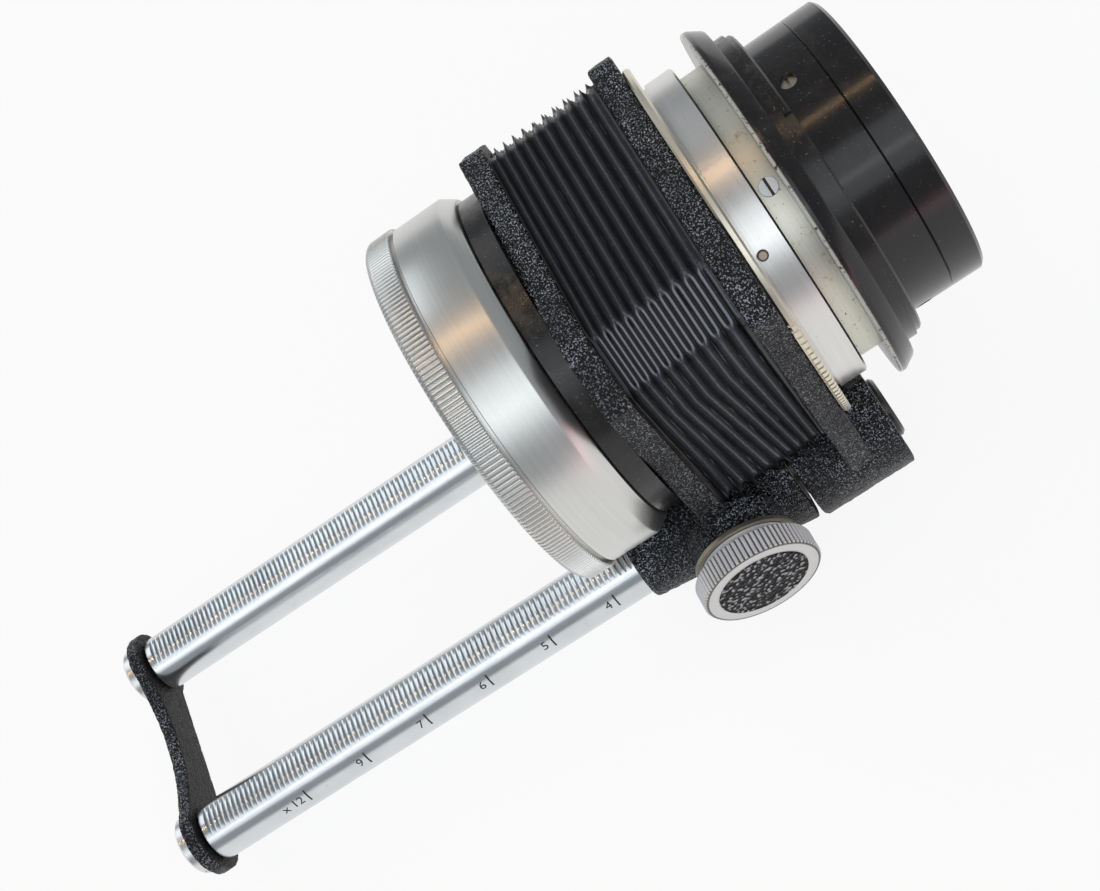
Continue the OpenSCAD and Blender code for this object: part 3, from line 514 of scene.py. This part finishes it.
def enamelled_casting(node_name, body, finish):
    """A casting under thick enamel: its edges rounded and its skin a little lumpy."""
    piece = bpy.data.objects.new(node_name + "_casting", frame["nodes"][node_name].data.copy())
    bpy.context.scene.collection.objects.link(piece)
    remesh = piece.modifiers.new("thick_coat", "REMESH")
    remesh.mode = "VOXEL"
    remesh.voxel_size = VOXEL * MM
    ease = piece.modifiers.new("soft_edges", "SMOOTH")
    ease.factor = 0.5
    ease.iterations = 2
    coated = piece.evaluated_get(bpy.context.evaluated_depsgraph_get())
    mesh = bpy.data.meshes.new_from_object(coated)
    piece.modifiers.clear()
    piece.data = mesh
    for vertex, normal in zip(mesh.vertices, [v.normal.copy() for v in mesh.vertices]):
        spot = vertex.co / MM
        rise = LUMP * noise.noise(spot * LUMP_WAVES) + GRAIN * noise.noise(spot * GRAIN_WAVES)
        if abs(normal.x) > LOOKS_ALONG_X:
            rise = min(rise, 0.0) - MEETING_GAP
        vertex.co += normal * rise * MM
        vertex.co.z = max(vertex.co.z, 0.0)
    mesh.materials.clear()
    mesh.materials.append(finish)
    mesh.shade_smooth()
    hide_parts(node_name)
    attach(piece, body)


# ---------------------------------------------------------------- camera ring

CAMERA_RIBS = 238
RIB_DEPTH = 0.36
# A rib and the groove after it: how deep each point lies, as a share of RIB_DEPTH.
RIB_SHAPE = (0.12, 0.0, 0.0, 0.12, 0.9, 0.9)
RIM_LEN = 4.2
RIM_CHAMFER = 0.6
# Points round a plain turned piece.
ROUND = 240


def turned_piece(name, node_name, profile, finish, count, rib_shape=(0,)):
    """A turned piece in place of a node. Its profile is a closed loop of (x, radius, ribbed):
    where ribbed is 1 the radius drops by RIB_DEPTH times the shares in rib_shape, in turn."""
    points, faces = [], []
    for x, r, ribbed in profile:
        for k in range(count):
            angle = 2 * math.pi * k / count
            reach = r - ribbed * RIB_DEPTH * rib_shape[k % len(rib_shape)]
            points.append((x, reach * math.sin(angle), AXIS_Z + reach * math.cos(angle)))
    for i in range(len(profile)):
        row, after = i * count, (i + 1) % len(profile) * count
        for k in range(count):
            step = (k + 1) % count
            faces.append((row + k, after + k, after + step, row + step))
    piece = new_piece(name, points, faces, finish, 32)
    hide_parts(node_name)
    return piece


def knurled_camera_ring():
    """The camera ring with all the fine ribs of its rim."""
    low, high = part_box("camera_ring")
    left, right, rim_r = low.x / MM, high.x / MM, (high.y - low.y) / 2 / MM
    rim = left + RIM_LEN
    body_r, bore_r, neck_r = rim_r - 0.5, 20.5, 23.05
    profile = [
        (left + 5.5, bore_r, 0), (left + 0.3, bore_r, 0), (left, bore_r + 0.4, 0),
        (left, rim_r - RIM_CHAMFER - 0.3, 0), (left + 0.12, rim_r - RIM_CHAMFER + 0.1, 0.2),
        (left + RIM_CHAMFER, rim_r - 0.08, 1), (left + RIM_CHAMFER + 0.3, rim_r, 1),
        (rim - 0.15, rim_r, 1), (rim, rim_r - 0.15, 1), (rim, body_r - 0.7, 0),
        (rim + 0.6, body_r - 0.7, 0), (rim + 0.6, body_r - 0.1, 0), (rim + 0.7, body_r, 0),
        (right - 2.15, body_r, 0), (right - 1.9, body_r - 0.12, 0),
        (right - 0.2, body_r - 1.3, 0), (right, body_r - 1.55, 0), (right, neck_r, 0),
        (right - 6, neck_r, 0), (right - 6, bore_r + 0.7, 0), (left + 5.5, bore_r + 0.7, 0),
    ]
    count = CAMERA_RIBS * len(RIB_SHAPE)
    ring = turned_piece("knurled_camera_ring", "camera_ring", profile, SATIN, count, RIB_SHAPE)
    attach(ring, "carriage")


def tapered_lens_flange():
    """The lens flange, whose rim thins towards its edge on the lens side."""
    low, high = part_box("lens_flange")
    tail, right, rim_r = low.x / MM, high.x / MM, (high.y - low.y) / 2 / MM
    left, bore_r, tail_r = right - 3, 19.5, 21.1
    profile = [
        (tail, bore_r, 0), (tail, tail_r, 0), (left, tail_r, 0), (left, rim_r - 0.2, 0),
        (left + 0.2, rim_r, 0), (left + 0.9, rim_r, 0), (left + 1.2, rim_r - 0.15, 0),
        (right - 0.3, rim_r - 1.1, 0), (right, rim_r - 1.4, 0), (right, bore_r, 0),
    ]
    flange = turned_piece("tapered_lens_flange", "lens_flange", profile, WORN_BLACK, ROUND)
    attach(flange, "base")


# ---------------------------------------------------------------- bellows

PLEATS = 10
PLEAT_DEPTH = 1.8
CORNER_DEPTH = 0.6
CORNER_CUT = 7.2
# How pointed a fold is on the flats and on the corners: under 1 it is full and round.
FLAT_FOLD, CORNER_FOLD = 0.30, 0.95
# Points along each pleat, along a flat and along a cut corner.
PLEAT_STEPS, FLAT_STEPS, CORNER_STEPS = 20, 34, 22
# The part of a corner over which a ridge splits.
SPLIT = 0.16
# How soon the pleats rise from the frames that hold them: 1 takes a whole pleat.
RISE = 1.6
# How far the folds stray, as a share of a pleat, and how far they stray in X in millimetres.
STRAY, STRAY_X = 0.10, 0.12
# How much the pleats crowd towards the camera, and how far the sides sag below SAG_TOP.
CROWDING, SAG = 0.16, 0.16
SAG_TOP, SAG_REACH = 8.0, 30.0


def bellows_outline():
    """Points round the bellows over its ridges: (y, z, outward y, outward z, share).

    The share is 0 on the top and the bottom, 1 on the flat sides, and a half on the cut corners
    between them."""
    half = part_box("bellows")[1].y / MM
    inner = half - CORNER_CUT
    corners = [(-inner, half), (inner, half), (half, inner), (half, -inner),
               (inner, -half), (-inner, -half), (-half, -inner), (-half, inner)]
    outline = []
    for i, (y, z) in enumerate(corners):
        y2, z2 = corners[(i + 1) % 8]
        on_corner = i % 2 == 1
        start, end = (0.0, 1.0) if i in (1, 5) else (1.0, 0.0)
        flat = 0.0 if i in (0, 4) else 1.0
        normal = Vector((-(z2 - z), y2 - y)).normalized() * -1
        count = CORNER_STEPS if on_corner else FLAT_STEPS
        for k in range(count):
            t = k / count
            share = flat
            if on_corner:
                rise = min(1.0, min(t, 1 - t) / SPLIT)
                rise = rise * rise * (3 - 2 * rise)
                share = start + (0.5 - start) * rise if t < 0.5 else end + (0.5 - end) * rise
            outline.append((y + (y2 - y) * t, z + (z2 - z) * t, normal.x, normal.y, share))
    return outline


def fold_height(phase, share):
    """How far a pleat stands out, from 0 in a valley to 1 on a ridge.

    A ridge of the top splits in two at the corner, and each half joins its neighbour's half
    into one ridge of the side, so the ridges of the sides lie between those of the top."""
    apart = share / 2
    place = (phase + 0.5) % 1.0
    gap = min(abs(place - ridge) for ridge in (-apart, apart, 1 - apart, 1 + apart))
    reach = 0.5 - 0.25 * (1 - abs(2 * share - 1))
    gap = min(gap / reach, 1.0)
    return (0.5 + 0.5 * math.cos(math.pi * gap)) ** (
        FLAT_FOLD + (CORNER_FOLD - FLAT_FOLD) * (1 - abs(2 * share - 1))
    )


def pleated_bellows():
    """The bellows, with rounded pleats that crowd towards the camera and sag at the sides."""
    x1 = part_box("rear_bellows_frame")[0].x / MM
    x2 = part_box("front_bellows_frame")[1].x / MM
    outline = bellows_outline()
    rings = PLEATS * PLEAT_STEPS
    points, faces, heights = [], [], []
    for i in range(rings + 1):
        phase = i / PLEAT_STEPS
        u = i / rings
        held = min(1.0, min(u, 1 - u) * PLEATS * RISE)
        glued = (1 - held) * (0.35 + 0.25 * u)
        for y, z, out_y, out_z, share in outline:
            wander = noise.noise(Vector((y * 0.09, z * 0.09, round(phase) * 1.7)))
            height = fold_height(phase + wander * STRAY * held, share) * held + glued
            sag = noise.noise(Vector((y * 0.06, z * 0.06, phase * 0.8 + 9)))
            depth = PLEAT_DEPTH + (CORNER_DEPTH - PLEAT_DEPTH) * (1 - abs(2 * share - 1))
            drop = depth * (1 - height * (0.93 + 0.07 * sag))
            crowd = u * (1 - CROWDING + CROWDING * u)
            if share > 0.5:
                fall = max(0.0, (SAG_TOP - z) / SAG_REACH)
                crowd += SAG * math.sin(math.pi * u) * fall * (2 * share - 1)
            x = x1 + (x2 - x1) * crowd + wander * STRAY_X * held
            points.append((x, y - out_y * drop, AXIS_Z + z - out_z * drop))
            heights.append(height * (2 - abs(2 * share - 1)))
    count = len(outline)
    for i in range(rings):
        for k in range(count):
            a, b = i * count + k, i * count + (k + 1) % count
            faces.append((a, a + count, b + count, b))
    piece = new_piece("pleated_bellows", points, faces, LEATHER, 80)
    attribute = piece.data.attributes.new("ridge", "FLOAT", "POINT")
    attribute.data.foreach_set("value", heights)
    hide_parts("bellows")
    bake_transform(piece)


# ---------------------------------------------------------------- scale on the near rail

# Millimetres and, for SCALE_ANGLE, degrees from straight up towards the knob's side.
TICK_PITCH = 12.005
FIRST_TICK_X = -102.01
SCALE_LABELS = ("x 12", "9", "7", "6", "5", "4")
SCALE_ANGLE = 66.0
TICK_W = 0.28
TICK_LEN = 2.6
TICK_ROWS = 6
DIGIT_H = 2.3
DIGIT_GAP = 0.9
DIGIT_DROP = 0.36
# Cuts across the figures, so that they bend round the rail.
STRIPS = 12


def on_rail(x, along, proud=0.02):
    """A point of the near rail's skin: along is the way round it from the scale's middle."""
    r = RAIL_R + proud
    angle = math.radians(SCALE_ANGLE) + along / RAIL_R
    return (x, -RAIL_Y - r * math.sin(angle), RAIL_Z + r * math.cos(angle))


def rail_scale():
    """The tick marks and numbers engraved along the near rail."""
    points, faces = [], []
    for k, label in enumerate(SCALE_LABELS):
        x = FIRST_TICK_X + k * TICK_PITCH
        start = len(points)
        for i in range(TICK_ROWS + 1):
            along = TICK_LEN * (i / TICK_ROWS - 0.5)
            points += [on_rail(x - TICK_W / 2, along), on_rail(x + TICK_W / 2, along)]
        for i in range(TICK_ROWS):
            a = start + 2 * i
            faces.append((a, a + 1, a + 3, a + 2))
        curve = bpy.data.curves.new("digits", "FONT")
        curve.body = label
        curve.size = DIGIT_H
        curve.align_x = "RIGHT"
        curve.resolution_u = 6
        text = bpy.data.objects.new("digits", curve)
        bpy.context.scene.collection.objects.link(text)
        bpy.context.view_layer.update()
        digits = bmesh.new()
        digits.from_mesh(text.to_mesh())
        for row in range(1, STRIPS):
            level = DIGIT_H * row / STRIPS
            geometry = digits.verts[:] + digits.edges[:] + digits.faces[:]
            bmesh.ops.bisect_plane(
                digits, geom=geometry, plane_co=(0, level, 0), plane_no=(0, 1, 0)
            )
        start = len(points)
        digits.verts.index_update()
        for vertex in digits.verts:
            across, up = vertex.co.x, vertex.co.y
            points.append(on_rail(x - DIGIT_GAP + across, DIGIT_H * DIGIT_DROP - up))
        faces += [tuple(start + v.index for v in face.verts) for face in digits.faces]
        digits.free()
        text.to_mesh_clear()
        bpy.data.objects.remove(text)
    piece = new_piece("rail_scale", points, faces, INK)
    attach(piece, "base")


# ---------------------------------------------------------------- camera, floor and light


def photo_camera():
    """The photograph's viewpoint: 1100 by 891 pixels, with the middle of the lens off centre."""
    width, focal = 1100.0, 1715.14
    middle_x, middle_y = -50.6, 33.6
    place = Vector((0.003844, -0.147309, 0.245976))
    right = Vector((0.819869, -0.367446, -0.439088))
    down = Vector((-0.540221, -0.750511, -0.380649))
    ahead = Vector((-0.189673, 0.549287, -0.813823))
    data = bpy.data.cameras.new("photo_camera")
    data.sensor_fit = "HORIZONTAL"
    data.sensor_width = 36.0
    data.lens = focal / width * data.sensor_width
    data.shift_x = -middle_x / width
    data.shift_y = middle_y / width
    data.clip_start = 0.01
    camera = bpy.data.objects.new("photo_camera", data)
    turn = Matrix((right, -down, -ahead)).transposed().to_4x4()
    camera.matrix_world = Matrix.Translation(place) @ turn
    bpy.context.scene.collection.objects.link(camera)
    bpy.context.scene.camera = camera


def softbox(name, place, target, size, glow, colour=(1, 1, 1)):
    """A soft lamp at place, turned towards target. glow is how bright its face is."""
    data = bpy.data.lights.new(name, "AREA")
    data.shape = "RECTANGLE"
    data.size, data.size_y = size
    data.energy = glow * math.pi * size[0] * size[1]
    data.color = colour
    lamp = bpy.data.objects.new(name, data)
    lamp.location = place
    away = (Vector(place) - Vector(target)).normalized()
    across = away.cross(Vector((1, 0, 0))).normalized()
    turn = Matrix((across.cross(away), across, away)).transposed()
    lamp.rotation_euler = turn.to_euler()
    bpy.context.scene.collection.objects.link(lamp)


def round_object(angle, distance, x=-0.02):
    """A place round the object's long axis: angle is from straight up towards the knob's side."""
    turn = math.radians(angle)
    return (x, -distance * math.sin(turn), AXIS_Z * MM + distance * math.cos(turn))


def studio():
    """A pale floor, an even pale surround, soft windows and one thin warm lamp overhead."""
    span = 3.0
    corners = [(-span, -span, 0), (span, -span, 0), (span, span, 0), (-span, span, 0)]
    mesh = bpy.data.meshes.new("floor")
    mesh.from_pydata(corners, [], [(0, 1, 2, 3)])
    mesh.materials.append(pale_floor())
    floor = bpy.data.objects.new("floor", mesh)
    bpy.context.scene.collection.objects.link(floor)

    world = bpy.data.worlds.new("surround")
    world.use_nodes = True
    background = world.node_tree.nodes["Background"]
    background.inputs["Color"].default_value = (0.90, 0.95, 1.0, 1)
    background.inputs["Strength"].default_value = 0.36
    bpy.context.scene.world = world

    middle = (-0.04, 0, 0.045)
    cool, white, warm = (0.90, 0.95, 1.0), (1.0, 1.0, 0.99), (1.0, 0.64, 0.34)
    softbox("window", round_object(40, 0.90), middle, (1.3, 0.60), 1.0, cool)
    softbox("window_gap", round_object(43, 0.85), middle, (1.2, 0.035), 2.2, white)
    softbox("lamp_overhead", round_object(-6, 1.00), middle, (1.4, 0.014), 20.0, warm)
    softbox("far_window", round_object(-45, 0.95, -0.45), middle, (0.7, 0.7), 1.1, cool)
    softbox("pink_cloth", (0.17, -0.30, 0.04), (0.0, 0, 0.04), (0.26, 0.075), 0.8, (1, 0.34, 0.38))
    bpy.context.scene.view_settings.view_transform = "Standard"


dress_nodes()
enamelled_casting("fixed_standard", "base", CRACKLE)
enamelled_casting("end_yoke", "base", YOKE_CRACKLE)
enamelled_casting("moving_standard", "carriage", CRACKLE)
knurled_camera_ring()
tapered_lens_flange()
pleated_bellows()
rail_scale()
photo_camera()
studio()
